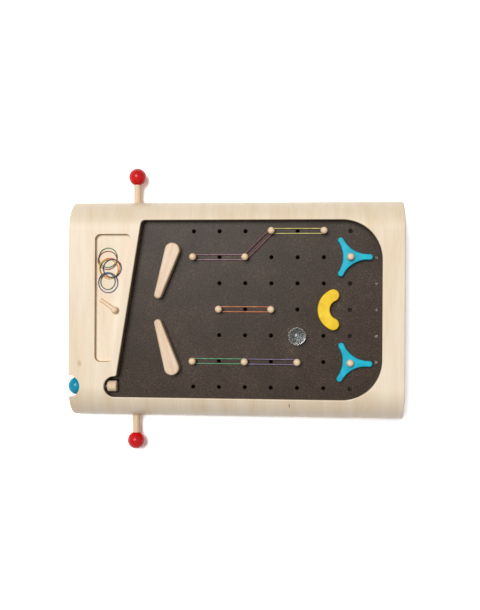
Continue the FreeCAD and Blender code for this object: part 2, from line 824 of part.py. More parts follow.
# ---------------------------------------------------------------- flippers and push rods
def make_flipper(name, side):
    """A tapered flipper glued on its shaft, with the slotted lever on the shaft's lower end."""
    lie = -(d.flipper_lie + 90) * side
    flipper = body(f"{name}_paddle")
    outline = sketch(flipper, "XY_Plane", raised=d.flipper_float)
    paddle(outline, d.flipper_length, d.flipper_root, d.flipper_tip)
    pad(flipper, outline, d.flipper_height)
    dress(
        flipper,
        "Fillet",
        level_at(d.flipper_float + d.flipper_height),
        Radius=d.flipper_top_ease,
    )
    dress(flipper, "Fillet", level_at(d.flipper_float), Radius=d.flipper_foot_ease)
    socket = sketch(flipper, "XY_Plane", raised=d.flipper_float)
    circle(socket, 0, 0, shaft_radius)
    pocket(flipper, socket, d.flipper_socket, backward=True)
    y = flipper_y * side
    piece(flipper, f"{name}_flipper", d.flipper_x, y, turn=lie)

    shaft_top = d.flipper_float + d.flipper_socket
    shaft = cylinder(f"{name}_dowel", shaft_radius, shaft_top - lever_bottom)
    piece(shaft, f"{name}_flipper_shaft", d.flipper_x, y, lever_bottom)

    lever = body(f"{name}_arm")
    outline = sketch(lever, "XY_Plane", raised=lever_bottom)
    paddle(outline, lever_arm, d.lever_hub, d.lever_end)
    pad(lever, outline, d.lever_thickness)
    boss = sketch(lever, "XY_Plane", raised=lever_top)
    circle(boss, 0, 0, d.lever_boss)
    pad(lever, boss, -d.board_thickness - d.face_gap - lever_top)
    bore = sketch(lever, "XY_Plane", raised=lever_bottom)
    circle(bore, 0, 0, shaft_radius)
    pocket(lever, bore, backward=True)
    slot = sketch(lever, "XY_Plane", raised=lever_bottom)
    near, far = lever_arm - slot_radius, slot_far + slot_radius
    rectangle(slot, near, -slot_radius, far, slot_radius)
    pocket(lever, slot, backward=True)
    corners = [upright_at(x, y, 0.1) for x in (near, far) for y in (-slot_radius, slot_radius)]
    dress(
        lever,
        "Fillet",
        lambda edge: any(found(edge) for found in corners),
        Radius=slot_radius - d.slot_side / 2,
    )
    turn = (size(180) - d.flipper_swing / 2) * side
    piece(lever, f"{name}_lever", d.flipper_x, y, turn=turn)


def across(name, side, radius, start, end):
    """A round bar on the axis of a push rod, from one distance off the centre line to another."""
    bar = cylinder(name, radius, end - start)
    return stand(bar, d.rod_x, start * side, -d.rod_drop, along=(0, side, 0))


def make_push_rod(name, side):
    """Ball knob, rod, collar, drive pin, return spring and the guide block of one side."""
    rod_tip = pin_y - d.pin_diameter
    rod_end = knob_y - ball_radius + d.knob_socket
    pin_low = -d.rod_drop - rod_radius + d.face_gap
    pin_length = lever_top - pin_low - d.face_gap

    rod = across(f"{name}_bar", side, rod_radius, rod_tip, rod_end)
    drilling = cylinder(f"{name}_drilling", d.pin_diameter / 2, pin_length)
    stand(drilling, d.rod_x, pin_y * side, pin_low)
    piece(cut(f"{name}_rod_cut", rod, drilling), f"{name}_push_rod")

    pin = cylinder(f"{name}_pin", d.pin_diameter / 2, pin_length)
    piece(pin, f"{name}_drive_pin", d.rod_x, pin_y * side, pin_low)

    knob = stand(ball(f"{name}_ball", ball_radius), d.rod_x, knob_y * side, -d.rod_drop)
    socket = across(f"{name}_socket", side, rod_radius, knob_y - ball_radius * 2, rod_end)
    piece(cut(f"{name}_knob_cut", knob, socket), f"{name}_knob")

    ring = across(
        f"{name}_ring", side, d.collar_diameter / 2, collar_y, collar_y + d.collar_width
    )
    hole = across(f"{name}_ring_hole", side, rod_radius, collar_y, collar_y + d.collar_width)
    piece(cut(f"{name}_collar_cut", ring, hole), f"{name}_rod_collar")

    length = collar_y - guide_outer
    spring = coil(f"{name}_coil", d.rod_spring_diameter, length, ROD_SPRING_TURNS)
    outward = Rotation(Vector(0, 0, 1), Vector(0, side, 0))
    piece(
        spring, f"{name}_rod_spring", d.rod_x, guide_outer * side, -d.rod_drop, tip=outward
    )

    guide = body(f"{name}_guide")
    outline = sketch(guide, "XZ_Plane", raised=-guide_outer if side == UPPER else guide_y)
    half = d.guide_width / 2
    low = -d.rod_drop - d.guide_below
    rectangle(outline, d.rod_x - half, low, d.rod_x + half, -d.board_thickness)
    circle(outline, d.rod_x, -d.rod_drop, rod_radius + d.running_gap)
    pad(guide, outline, d.guide_thickness)
    lower_corner = low.value

    def lower_edge(edge):
        box = edge.BoundBox
        across_rod = box.YLength > d.guide_thickness.value - 0.1
        return is_line(edge) and across_rod and abs(box.ZMin - lower_corner) < 0.01

    dress(guide, "Fillet", lower_edge, Radius=d.guide_corner)
    piece(guide, f"{name}_rod_guide")


# ---------------------------------------------------------------- pegs and bands
def make_peg(label, x, y, height, lie=None):
    """A turned peg: ball head, straight stem, chamfered tip. Its own Z axis is the stem's."""
    stem_r = d.peg_stem / 2
    head = ball(f"{label}_ball", d.peg_head / 2)
    stem = stand(cylinder(f"{label}_stem", stem_r, d.peg_reach - d.peg_point))
    bind(stem, **{"Placement.Base.z": d.peg_point - d.peg_reach})
    tip = doc.addObject("Part::Cone", f"{label}_tip")
    bind(tip, Radius1=stem_r - d.peg_point / 2, Radius2=stem_r, Height=d.peg_point)
    stand(tip, z=-d.peg_reach)
    turned = fuse(f"{label}_turned", [head, stem, tip])
    turned.Refine = True
    return piece(turned, label, x, y, height, tip=lie)


# Pegs on the board, by column and row, in the order in which they are numbered
PEGS = [(0, 1), (2, 1), (3, 0), (5, 0), (1, 3), (3, 3), (0, 5), (2, 5), (4, 5)]
# Stars, by column and row, and how far each has turned, in degrees
STARS = {"upper": (6, 1, 0), "lower": (6, 5, -2.8)}

# Bands stretched round two pegs: colour, the two pegs and whether it lies over another band
BANDS = [
    ("mauve", (0, 1), (2, 1), False),
    ("red", (2, 1), (3, 0), True),
    ("yellow", (3, 0), (5, 0), False),
    ("orange", (1, 3), (3, 3), False),
    ("green", (0, 5), (2, 5), False),
    ("purple", (2, 5), (4, 5), True),
]


def make_pegs():
    for number, (column, row) in enumerate(PEGS, start=1):
        make_peg(f"peg_{number}", column_x(column), row_y(row), d.peg_height)
    star_head = d.obstacle_float + d.star_height + d.peg_head / 2 + d.face_gap
    for name, (column, row, turn) in STARS.items():
        make_peg(f"{name}_star_peg", column_x(column), row_y(row), star_head)
    # the spare peg lies in the tray, on its head and its tip
    lean = math.degrees(math.asin((d.peg_head - d.peg_stem).value / 2 / d.peg_reach.value))
    lying = Rotation(Vector(0, 0, 1), SPARE_PEG_TURN).multiply(
        Rotation(Vector(0, 1, 0), 90 - lean)
    )
    tray_floor = d.deck_depth - d.tray_depth
    resting = tray_floor + d.peg_head / 2 + d.face_gap / 3
    x, y = d.tray_left + SPARE_PEG_AT[0], tray_top - SPARE_PEG_AT[1]
    make_peg("spare_peg", x, y, resting, lie=lying)


# The spare peg's head, from the tray's left edge and its upper end, and the way its tip points
SPARE_PEG_AT = (23, 87.4)
SPARE_PEG_TURN = -35


def make_bands():
    """Elastic bands at work: each a flat ring stretched round two stems."""
    inner = d.peg_stem / 2 + d.band_gap
    outer = inner + d.band_section
    for colour, first, second, over in BANDS:
        along = column_pitch * (second[0] - first[0])
        across_board = row_pitch * (first[1] - second[1])
        length = span_of(along, across_board)
        band = body(f"{colour}_loop")
        low = d.band_low + d.band_step if over else d.band_low
        ring = sketch(band, "XY_Plane", raised=low)
        paddle(ring, length, outer, outer)
        paddle(ring, length, inner, inner)
        pad(band, ring, d.band_section)
        turn = math.degrees(math.atan2(across_board.value, along.value))
        piece(band, f"{colour}_band", column_x(first[0]), row_y(first[1]), turn=turn)


# Slack bands in the tray: colour, centre from the tray's left edge and its upper end, the
# ring's radius as a share of the usual one, and how many bands lie under it
SLACK = [
    ("green", 14.2, 27.2, 0.96, 0),
    ("red", 13.9, 30.2, 0.94, 1),
    ("orange", 16.4, 38.8, 1.0, 2),
    ("yellow", 15.4, 40.4, 0.96, 3),
    ("indigo", 19.4, 39.4, 0.92, 4),
    ("purple", 14.6, 56.0, 1.0, 0),
    ("teal", 14.3, 54.7, 0.78, 1),
]


def make_slack_bands():
    floor = d.deck_depth - d.tray_depth
    layer = d.band_section + d.face_gap / 6
    for colour, x, y, share, under in SLACK:
        outer = d.loose_band_radius * share
        band = body(f"{colour}_slack")
        ring = sketch(band, "XY_Plane", raised=floor + layer * under + d.face_gap / 6)
        circle(ring, 0, 0, outer)
        circle(ring, 0, 0, outer - d.band_section)
        pad(band, ring, d.band_section)
        piece(band, f"spare_{colour}_band", d.tray_left + x, tray_top - y)


# ---------------------------------------------------------------- obstacles and marble
def make_star(name, column, row, turned):
    """A three-armed spinner on its peg, cut with hollow sides."""
    star = body(f"{name}_spinner")
    outline = sketch(star, "XY_Plane", raised=d.obstacle_float)
    reach, tip, hollow = d.star_reach.value, d.star_tip.value, d.star_hollow.value
    # a hollow's centre stands as far from both its neighbouring tips as the two radii add up to
    half = reach * math.sin(math.radians(60))
    hollow_at = reach / 2 + math.sqrt((tip + hollow) ** 2 - half ** 2)
    touch = math.degrees(math.atan2(half, hollow_at - reach / 2))
    tips, hollows = [], []
    for arm in range(3):
        turn = 120 * arm
        away = Rotation(Vector(0, 0, 1), turn).multVec(Vector(reach, 0, 0))
        between = Rotation(Vector(0, 0, 1), turn + 60).multVec(Vector(hollow_at, 0, 0))
        tips.append(arc(outline, away, tip, turn - 120 + touch, turn + 120 - touch))
        hollows.append(
            arc(outline, between, hollow, turn + 240 - touch, turn + 240 + touch)
        )
    for arm in range(3):
        # the hollow runs anticlockwise from the next tip back to this one
        smooth(outline, tips[arm], END, hollows[arm], END)
        smooth(outline, hollows[arm], START, tips[(arm + 1) % 3], START)
        turn = size(120 * arm)
        fix_point(
            outline,
            tips[arm],
            CENTRE,
            d.star_reach * cos_of(turn),
            d.star_reach * sin_of(turn),
        )
        fix(outline, "Radius", d.star_tip, tips[arm])
        fix(outline, "Radius", d.star_hollow, hollows[arm])
    pad(star, outline, d.star_height)
    dress(
        star, "Fillet", level_at(d.obstacle_float + d.star_height), Radius=d.obstacle_ease
    )
    bore = sketch(star, "XY_Plane", raised=d.obstacle_float)
    circle(bore, 0, 0, hole_radius)
    pocket(star, bore, backward=True)
    piece(star, f"{name}_star", column_x(column), row_y(row), turn=turned)


def make_crescent():
    """A bean-shaped deflector that turns on a dowel at the middle of its back."""
    crescent = body("bean")
    outline = sketch(crescent, "XY_Plane", raised=d.obstacle_float)
    middle, end_radius = d.crescent_radius, d.crescent_width / 2
    sweep = d.crescent_half_angle.value
    outer_r = (middle + end_radius).value
    inner_r = (middle - end_radius).value
    heart = Vector(middle.value, 0, 0)
    outer = arc(outline, heart, outer_r, 180 - sweep, 180 + sweep)
    inner = arc(outline, heart, inner_r, 180 - sweep, 180 + sweep)
    ends = {}
    for side in (UPPER, LOWER):
        toward = Vector(-math.cos(math.radians(sweep)), side * math.sin(math.radians(sweep)), 0)
        spot = heart + toward * middle.value
        out_angle = 180 - side * sweep
        start = out_angle - 180 if side == UPPER else out_angle
        ends[side] = arc(outline, spot, end_radius.value, start, start + 180)
    smooth(outline, outer, START, ends[UPPER], END)
    smooth(outline, ends[UPPER], START, inner, START)
    smooth(outline, inner, END, ends[LOWER], END)
    smooth(outline, ends[LOWER], START, outer, END)
    fix_point(outline, outer, CENTRE, middle, 0)
    outline.addConstraint(Sketcher.Constraint("Coincident", outer, CENTRE, inner, CENTRE))
    fix(outline, "Radius", middle + end_radius, outer)
    fix(outline, "Radius", middle - end_radius, inner)
    end_y = middle * sin_of(d.crescent_half_angle)
    for side in (UPPER, LOWER):
        fix(outline, "DistanceY", end_y * side, *ORIGIN, ends[side], CENTRE)
    pad(crescent, outline, d.crescent_height)
    top = d.obstacle_float + d.crescent_height
    dress(crescent, "Fillet", level_at(top), Radius=d.obstacle_ease)
    socket = sketch(crescent, "XY_Plane", raised=d.obstacle_float)
    circle(socket, 0, 0, d.peg_stem / 2)
    pocket(crescent, socket, d.crescent_socket, backward=True)
    at = column_x(5), row_y(3)
    piece(crescent, "crescent", *at)
    length = d.obstacle_float + d.crescent_socket + d.board_thickness
    dowel = cylinder("bean_dowel", d.peg_stem / 2, length)
    piece(dowel, "crescent_dowel", *at, -d.board_thickness)


def make_marble():
    marble = ball("glass_ball", d.marble_diameter / 2)
    piece(marble, "marble", column_x(4), row_y(4), d.marble_diameter / 2 + d.face_gap)


# ---------------------------------------------------------------- the whole game
make_deck()
make_board()
make_screws()
make_feet()
make_plunger_block()
make_plunger()
for name, side in SIDES.items():
    make_flipper(name, side)
    make_push_rod(name, side)
make_pegs()
make_bands()
make_slack_bands()
for name, (column, row, turned) in STARS.items():
    make_star(name, column, row, turned)
make_crescent()
make_marble()
doc.recompute()

# ---------------------------------------------------------------- checks and export
for thing in doc.Objects:
    if {"Invalid", "Error"} & set(thing.State):
        raise ValueError(f"{thing.Name} failed: {thing.State}")
for made in pieces:
    if made.Shape.isNull() or not made.Shape.isValid():
        raise ValueError(f"{made.Label} has no valid shape")

os.makedirs("parts", exist_ok=True)
for made in pieces:
    made.Shape.exportStep(f"parts/{made.Label}.step")
print(f"{len(pieces)} sub-parts written")
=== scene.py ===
import math

import bmesh
import bpy
from mathutils import Matrix, Vector


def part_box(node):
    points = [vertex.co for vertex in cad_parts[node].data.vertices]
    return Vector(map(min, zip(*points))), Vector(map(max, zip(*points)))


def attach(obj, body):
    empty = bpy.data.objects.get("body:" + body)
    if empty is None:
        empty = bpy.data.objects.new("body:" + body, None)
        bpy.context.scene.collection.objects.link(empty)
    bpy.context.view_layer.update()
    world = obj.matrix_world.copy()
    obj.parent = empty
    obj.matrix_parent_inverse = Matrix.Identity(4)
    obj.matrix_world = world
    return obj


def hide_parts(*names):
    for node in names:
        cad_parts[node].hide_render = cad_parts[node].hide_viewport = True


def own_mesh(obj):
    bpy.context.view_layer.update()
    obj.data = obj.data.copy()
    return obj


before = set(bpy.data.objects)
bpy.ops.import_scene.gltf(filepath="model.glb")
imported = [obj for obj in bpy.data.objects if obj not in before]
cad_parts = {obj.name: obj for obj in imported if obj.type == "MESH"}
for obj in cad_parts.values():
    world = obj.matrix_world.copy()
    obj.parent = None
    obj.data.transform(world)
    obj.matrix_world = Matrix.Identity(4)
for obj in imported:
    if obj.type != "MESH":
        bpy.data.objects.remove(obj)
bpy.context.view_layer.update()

# ---------------------------------------------------------------- Deck
# The body of the game: birch plywood, moulded over a former so that its long sides roll down to
# the table, then cut out for the window, tray, lane and finger notch and thinly lacquered. The
# other pieces are screwed or glued to it, so its slope and place set the board's own frame here.
SLOPE = math.radians(5)
LIFT = 0.028557  # the board's surface above the table, at the plunger end
SHIFT = -0.193058  # the plunger end of the board's frame, along the table
ON_TABLE = Matrix.Translation((SHIFT, 0, LIFT)) @ Matrix.Rotation(-SLOPE, 4, "Y")
TILT = (0, -SLOPE, 0)
MM = 0.001


def linear(code):
    """An sRGB hex colour in Blender's linear values."""
    parts = [int(code[n : n + 2], 16) / 255 for n in (0, 2, 4)]
    return [p / 12.92 if p <= 0.04045 else ((p + 0.055) / 1.055) ** 2.4 for p in parts] + [1]


def add(tree, kind, inputs=None, stops=(), **settings):
    """Adds a node with its settings, its inputs' values or links, and its colour ramp's stops."""
    made = tree.nodes.new("ShaderNode" + kind)
    for name, value in settings.items():
        setattr(made, name, value)
    for name, value in (inputs or {}).items():
        if isinstance(value, bpy.types.NodeSocket):
            tree.links.new(value, made.inputs[name])
        else:
            made.inputs[name].default_value = value
    for n, (position, code) in enumerate(stops):
        points = made.color_ramp.elements
        point = points[n] if n < len(points) else points.new(position)
        point.position, point.color = position, linear(code)
    return made


def start_finish(name, roughness, **surface):
    """A new material with its shader's own constant values; returns it, its tree and shader."""
    made = bpy.data.materials.new(name)
    made.use_nodes = True
    shader = made.node_tree.nodes["Principled BSDF"]
    shader.inputs["Roughness"].default_value = roughness
    for socket, value in surface.items():
        shader.inputs[socket.replace("_", " ")].default_value = value
    return made, made.node_tree, shader


def dress(material, *nodes):
    """Gives CAD nodes a finish in place of their plain colour."""
    for name in nodes:
        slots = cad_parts[name].data.materials
        for n in range(len(slots)):
            slots[n] = material


# in the board's frame, mm
PLY = 1.4  # thickness of one veneer
ROLL_Y, ROLL_Z, ROLL_R = 90.5, -20, 35  # middle and radius of the rolled long sides
KNOT, KNOT_SIZE = (13.4, -63.5, 15), (3.4, 4.6, 6)
FLECK, FLECK_SIZE = (255.7, -109.4, 10), (0.75, 3.5, 6)
WINDOW_X, WINDOW_LONG, WINDOW_WIDE = 201, 159.5, 103  # middle of the window and its half sizes
SLANT, PAST_TRAY = 0.158, 64  # lean of the tray's edge, and a line between tray and window
LANE_TOP = -70  # the lane lies below the tray
SHADE_TOP, SHADE_FULL = 12.4, 9.5  # the painted shade on the walls fades between these heights

# Birch plywood, sanded and lacquered: a cream face with faint fibres running across the game
# and round the rolled sides, thin darker plies where it is cut (darkened beyond their own tone as
# painted shade for the window's walls), one small knot and one dark fleck.
plywood, tree, shader = start_finish("lacquered birch plywood", 0.45)
place = add(tree, "TexCoord").outputs["Object"]
board_mm = add(
    tree,
    "Mapping",
    {"Vector": place, "Location": (SHIFT, 0, LIFT), "Rotation": TILT, "Scale": (MM, MM, MM)},
    vector_type="TEXTURE",
).outputs["Vector"]
along, across, height = add(tree, "SeparateXYZ", {"Vector": board_mm}).outputs
aside = add(tree, "Math", {0: across}, operation="ABSOLUTE").outputs[0]
# depth under the face veneer, measured round the rolled sides, with 0.2 mm to spare
side = add(tree, "Math", {0: aside, 1: ROLL_Y}, operation="SUBTRACT").outputs[0]
side = add(tree, "Math", {0: side, 1: 0}, operation="MAXIMUM").outputs[0]
rise = add(tree, "Math", {0: height, 1: ROLL_Z}, operation="SUBTRACT").outputs[0]
rise = add(tree, "Math", {0: rise, 1: 0}, operation="MAXIMUM").outputs[0]
out = add(tree, "CombineXYZ", {"X": side, "Y": rise}).outputs[0]
out = add(tree, "VectorMath", {0: out}, operation="LENGTH").outputs["Value"]
depth = add(tree, "Math", {0: ROLL_R + 0.2, 1: out}, operation="SUBTRACT").outputs[0]
ply = add(tree, "Math", {0: depth, 1: PLY}, operation="DIVIDE").outputs[0]
ply_half = add(tree, "Math", {0: ply, 1: 1}, operation="PINGPONG").outputs[0]
glue = add(
    tree, "MapRange", {"Value": ply_half, "From Max": 0.12, "To Min": 1, "To Max": 0}
).outputs[0]
ply_pair = add(tree, "Math", {0: ply, 1: 0.5}, operation="MULTIPLY").outputs[0]
ply_pair = add(tree, "Math", {0: ply_pair}, operation="FRACT").outputs[0]
crossed = add(tree, "Math", {0: ply_pair, 1: 0.5}, operation="GREATER_THAN").outputs[0]
# the fibres' own course: across the board, then down round the rolled side
wrap = add(tree, "Math", {0: height, 1: -1 / 125, 2: 1.12}, operation="MULTIPLY_ADD").outputs[0]
course = add(tree, "Math", {0: across, 1: wrap}, operation="MULTIPLY").outputs[0]
sheet = add(tree, "CombineXYZ", {"X": along, "Y": course}).outputs[0]
# growth figure about 16 mm wide, drawn out to 150 mm along the fibres
figure_at = add(
    tree,
    "Mapping",
    {"Vector": sheet, "Location": (31, 12, 0), "Scale": (16, 150, 16)},
    vector_type="TEXTURE",
).outputs["Vector"]
figure = add(
    tree, "TexNoise", {"Vector": figure_at, "Scale": 1, "Detail": 4, "Distortion": 0.5}
).outputs["Fac"]
# fibres are finer than 0.1 mm; they are drawn 1.1 mm wide so that they show from a metre away
fibre_at = add(
    tree, "Mapping", {"Vector": sheet, "Scale": (1.1, 26, 1)}, vector_type="TEXTURE"
).outputs["Vector"]
fibre = add(tree, "TexNoise", {"Vector": fibre_at, "Scale": 1, "Detail": 3}).outputs["Fac"]
tone = add(tree, "Math", {0: fibre, 1: 0.35}, operation="MULTIPLY").outputs[0]
tone = add(tree, "Math", {0: figure, 1: 0.65, 2: tone}, operation="MULTIPLY_ADD").outputs[0]
FACE = [(0.28, "ddc6a2"), (0.42, "e6d1b3"), (0.56, "ecdac0"), (0.75, "f1e3cd")]
face = add(tree, "ValToRGB", {"Fac": tone}, FACE).outputs["Color"]
# the cut plies: their own crossed tone and glue lines, both darkened further as painted shade
inner = add(tree, "Mix", {0: crossed, 6: face, 7: linear("bd9c72")}, data_type="RGBA")
inner = inner.outputs[2]
inner = add(tree, "Mix", {0: glue, 6: inner, 7: linear("8f6f4b")}, data_type="RGBA").outputs[2]
buried = add(tree, "MapRange", {"Value": depth, "From Min": 0.5, "From Max": 0.9}).outputs[0]
wood = add(tree, "Mix", {0: buried, 6: face, 7: inner}, data_type="RGBA").outputs[2]
for spot, size, strength, code in (
    (KNOT, KNOT_SIZE, 0.55, "b98f5f"),
    (FLECK, FLECK_SIZE, 0.95, "4a2f1e"),
):
    near = add(
        tree,
        "Mapping",
        {"Vector": board_mm, "Location": spot, "Scale": size},
        vector_type="TEXTURE",
    ).outputs["Vector"]
    near = add(tree, "VectorMath", {0: near}, operation="LENGTH").outputs["Value"]
    near = add(
        tree,
        "MapRange",
        {"Value": near, "From Min": 0.35, "From Max": 1, "To Min": strength, "To Max": 0},
    ).outputs[0]
    wood = add(tree, "Mix", {0: near, 6: wood, 7: linear(code)}, data_type="RGBA").outputs[2]
# The lower part of the window's walls is painted dark: a painted shade for the shadow that falls
# there, between the window's ends and sides, under a height, and right of the tray or below it in
# the lane.
middle = add(tree, "Math", {0: along, 1: WINDOW_X}, operation="SUBTRACT").outputs[0]
middle = add(tree, "Math", {0: middle}, operation="ABSOLUTE").outputs[0]
past = add(tree, "Math", {0: across, 1: -SLANT, 2: along}, operation="MULTIPLY_ADD").outputs[0]
ends, sides, under, past, lane = (
    add(tree, "MapRange", {"Value": value, "From Min": clean, "From Max": full}).outputs[0]
    for value, clean, full in (
        (middle, WINDOW_LONG, WINDOW_LONG - 0.5),
        (aside, WINDOW_WIDE, WINDOW_WIDE - 0.5),
        (height, SHADE_TOP, SHADE_FULL),
        (past, PAST_TRAY, PAST_TRAY + 0.5),
        (across, LANE_TOP, LANE_TOP - 0.5),
    )
)
past = add(tree, "Math", {0: past, 1: lane}, operation="MAXIMUM").outputs[0]
wall_shade = ends
for share in (sides, past, under, 0.85):
    wall_shade = add(tree, "Math", {0: wall_shade, 1: share}, operation="MULTIPLY").outputs[0]
# painted shade: the walls' lower part is drawn nearly black brown
wood = add(tree, "Mix", {0: wall_shade, 6: wood, 7: linear("2e2118")}, data_type="RGBA").outputs[2]
tree.links.new(wood, shader.inputs["Base Color"])
grain = add(
    tree, "Bump", {"Height": fibre, "Strength": 0.12, "Distance": 0.0002}
).outputs["Normal"]
tree.links.new(grain, shader.inputs["Normal"])
dress(plywood, "deck")

# ---------------------------------------------------------------- Playing board
# The sheet under the window: hardboard 8 mm thick, dyed dark brown through and left matt, drilled
# and countersunk for the pegs, and held up to the deck by ten countersunk steel screws.
hardboard, tree, shader = start_finish("dyed hardboard", 0.35, Specular_IOR_Level=0.1)
place = add(tree, "TexCoord").outputs["Object"]
# wood fibres pressed flat every way, in tufts about 1.6 mm and specks about 0.5 mm across
tufts = add(
    tree, "TexNoise", {"Vector": place, "Scale": 620, "Detail": 3, "Roughness": 0.65}
).outputs["Fac"]
specks = add(
    tree, "TexNoise", {"Vector": place, "Scale": 1900, "Detail": 2, "Roughness": 0.7}
).outputs["Fac"]
clouds = add(tree, "TexNoise", {"Vector": place, "Scale": 28, "Detail": 3}).outputs["Fac"]
tone = 0
for pattern, share in ((specks, 0.4), (tufts, 0.45), (clouds, 0.15)):
    tone = add(tree, "Math", {0: pattern, 1: share, 2: tone}, operation="MULTIPLY_ADD").outputs[0]
DYED = [(0.34, "1f160f"), (0.46, "372b22"), (0.56, "483a30"), (0.66, "78685c")]
wood = add(tree, "ValToRGB", {"Fac": tone}, DYED).outputs["Color"]
# the specks are drawn coarse and the marble would magnify them, so through glass the board is
# one mean tone
through = add(tree, "LightPath").outputs["Is Transmission Ray"]
wood = add(tree, "Mix", {0: through, 6: wood, 7: linear("3a2f28")}, data_type="RGBA").outputs[2]
tree.links.new(wood, shader.inputs["Base Color"])
grain = add(
    tree, "Bump", {"Height": tufts, "Strength": 0.25, "Distance": 0.0002}
).outputs["Normal"]
tree.links.new(grain, shader.inputs["Normal"])
dress(hardboard, "play_board")

# Drawn steel: grey, satin, with fine marks of the die round the bar.
steel, tree, shader = start_finish("drawn steel", 0.3, Metallic=1)
place = add(tree, "TexCoord").outputs["Object"]
marks = add(
    tree, "TexNoise", {"Vector": place, "Scale": 2600, "Detail": 2, "Roughness": 0.6}
).outputs["Fac"]
STEEL = [(0.3, "a3a3a6"), (0.6, "bdbdc0"), (0.8, "cfcfd2")]
metal = add(tree, "ValToRGB", {"Fac": marks}, STEEL).outputs["Color"]
tree.links.new(metal, shader.inputs["Base Color"])
worn = add(tree, "MapRange", {"Value": marks, "To Min": 0.24, "To Max": 0.42}).outputs[0]
tree.links.new(worn, shader.inputs["Roughness"])
dress(steel, "board_screws", "upper_drive_pin", "lower_drive_pin", "plunger_rod")

# ---------------------------------------------------------------- Rubber feet
# Four soft black rubber discs glued under the ends of the long sides, so the game doesn't slide.
rubber, tree, shader = start_finish("moulded black rubber", 0.85, Specular_IOR_Level=0.35)
place = add(tree, "TexCoord").outputs["Object"]
bloom = add(tree, "TexNoise", {"Vector": place, "Scale": 900, "Detail": 4}).outputs["Fac"]
BLACK = [(0.3, "1c1b1b"), (0.6, "262525"), (0.8, "353332")]
skin = add(tree, "ValToRGB", {"Fac": bloom}, BLACK).outputs["Color"]
tree.links.new(skin, shader.inputs["Base Color"])
pores = add(
    tree, "Bump", {"Height": bloom, "Strength": 0.3, "Distance": 0.0001}
).outputs["Normal"]
tree.links.new(pores, shader.inputs["Normal"])
dress(rubber, "rubber_feet")


# ---------------------------------------------------------------- Plunger block and rod guides
# Blocks of solid birch glued under the deck and the board: one carries the plunger, the other two
# hold the push rods in line. They are sawn and sanded and keep their bare, dry look.
def bare_wood(name, lie, cell, colours, roughness=0.55, middle=(0, 0, 0)):
    """Solid wood: its fibres lie along X of the turn lie, its figure has cells of so many mm."""
    made, tree, shader = start_finish(name, roughness, Specular_IOR_Level=0.4)
    place = add(tree, "TexCoord").outputs["Object"]
    figure_at = add(
        tree,
        "Mapping",
        {
            "Vector": place,
            "Location": middle,
            "Rotation": lie,
            "Scale": [part * MM for part in cell],
        },
        vector_type="TEXTURE",
    ).outputs["Vector"]
    figure = add(
        tree, "TexNoise", {"Vector": figure_at, "Scale": 1, "Detail": 3, "Distortion": 0.6}
    ).outputs["Fac"]
    # pores about 0.25 mm wide and 3 mm long, drawn 0.6 mm wide so that they show
    pores_at = add(
        tree,
        "Mapping",
        {"Vector": place, "Location": middle, "Rotation": lie, "Scale": (0.008, 0.0006, 0.0006)},
        vector_type="TEXTURE",
    ).outputs["Vector"]
    pores = add(
        tree, "TexNoise", {"Vector": pores_at, "Scale": 1, "Detail": 2, "Roughness": 0.6}
    ).outputs["Fac"]
    tone = add(tree, "Math", {0: pores, 1: 0.4}, operation="MULTIPLY").outputs[0]
    tone = add(tree, "Math", {0: figure, 1: 0.6, 2: tone}, operation="MULTIPLY_ADD").outputs[0]
    stops = list(zip((0.3, 0.44, 0.56, 0.72), colours))
    wood = add(tree, "ValToRGB", {"Fac": tone}, stops).outputs["Color"]
    tree.links.new(wood, shader.inputs["Base Color"])
    grain = add(
        tree, "Bump", {"Height": pores, "Strength": 0.2, "Distance": 0.00015}
    ).outputs["Normal"]
    tree.links.new(grain, shader.inputs["Normal"])
    return made


BIRCH = ("cfb18a", "dfc6a2", "e7d2b2", "eedfc5")
birch_across = bare_wood(
    "solid birch, grain across", (0, 0, math.radians(90)), (70, 5, 9), BIRCH
)
dress(birch_across, "plunger_block", "upper_rod_guide", "lower_rod_guide")

# ---------------------------------------------------------------- Plunger
# A steel rod slides in a turned brass bush, with a lacquered wooden ball outside to pull it and a
# birch striker in the lane. A spring between bush and striker drives it at the marble.
LANE_Y, PLUNGER_Z = -90, 4  # the plunger's axis
BUSH_END, STRIKER_X = 23.6, 44.8  # the two seats of its spring
WIRE = 0.8  # thickness of all springs' wire


def gloss_paint(name, dark, plain, light, roughness=0.2, shine=0.22):
    """Lacquer sprayed on turned wood: even colour, a soft orange peel, and a clear shine."""
    made, tree, shader = start_finish(name, roughness, Specular_IOR_Level=shine)
    place = add(tree, "TexCoord").outputs["Object"]
    # the film thickens and thins over about 9 mm, and its peel is 1.2 mm across
    film = add(tree, "TexNoise", {"Vector": place, "Scale": 110, "Detail": 2}).outputs["Fac"]
    peel = add(tree, "TexNoise", {"Vector": place, "Scale": 830, "Detail": 1}).outputs["Fac"]
    stops = [(0.3, dark), (0.5, plain), (0.72, light)]
    paint = add(tree, "ValToRGB", {"Fac": film}, stops).outputs["Color"]
    tree.links.new(paint, shader.inputs["Base Color"])
    skin = add(
        tree, "Bump", {"Height": peel, "Strength": 0.06, "Distance": 0.0002}
    ).outputs["Normal"]
    tree.links.new(skin, shader.inputs["Normal"])
    return made


dress(gloss_paint("blue lacquer on beech", "0086a4", "0094b2", "0fa2c2"), "plunger_knob")

birch_long = bare_wood("turned birch, grain along", TILT, (45, 3.5, 3.5), BIRCH)
dress(birch_long, "plunger_head")

brass, tree, shader = start_finish("turned brass", 0.25, Metallic=1)
place = add(tree, "TexCoord").outputs["Object"]
# tool marks 0.4 mm apart, along the bush
tool_at = add(
    tree, "Mapping", {"Vector": place, "Scale": (0.0004, 1, 1)}, vector_type="TEXTURE"
).outputs["Vector"]
tool = add(tree, "TexNoise", {"Vector": tool_at, "Scale": 1, "Detail": 1}).outputs["Fac"]
BRASS = [(0.3, "b58f4a"), (0.6, "c9a45c"), (0.8, "d8b873")]
metal = add(tree, "ValToRGB", {"Fac": tool}, BRASS).outputs["Color"]
tree.links.new(metal, shader.inputs["Base Color"])
dress(brass, "plunger_bush")

